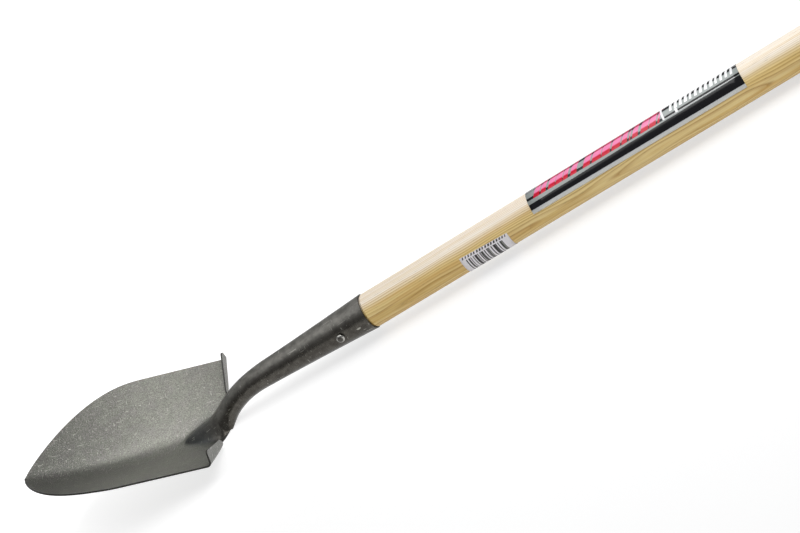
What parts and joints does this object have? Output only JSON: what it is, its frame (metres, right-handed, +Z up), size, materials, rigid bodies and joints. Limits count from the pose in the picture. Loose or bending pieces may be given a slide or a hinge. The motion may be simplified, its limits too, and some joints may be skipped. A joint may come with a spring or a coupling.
{
  "type": "shovel",
  "caption": "Long-handled round point shovel with a dished pressed steel blade, forward-turned steps, raised frog, rolled socket, straight ash handle and a cross rivet.",
  "frame": {"origin": "centre of the bounding box in plan, on the surface that the shovel lies on", "axes": "+X from the blade's point towards the butt of the handle, +Z up out of the front of the blade, +Y across to the far step; the shovel lies on its back, on its heel and butt"},
  "size_m": [1.5524, 0.1854, 0.0756],
  "materials": {
    "head_coating": "satin grey coating with fine speckle",
    "ash_wood": "clear satin lacquer over straight grain",
    "rivet_steel": "dark semi-gloss",
    "band_label_film": "printed film with plain bands",
    "code_label_film": "white film with plain bars"
  },
  "bodies": {
    "root": {"shovel_head": "head_coating", "ash_handle": "ash_wood", "socket_rivet": "rivet_steel", "band_label": "band_label_film", "code_label": "code_label_film"}
  },
  "joints": []
}
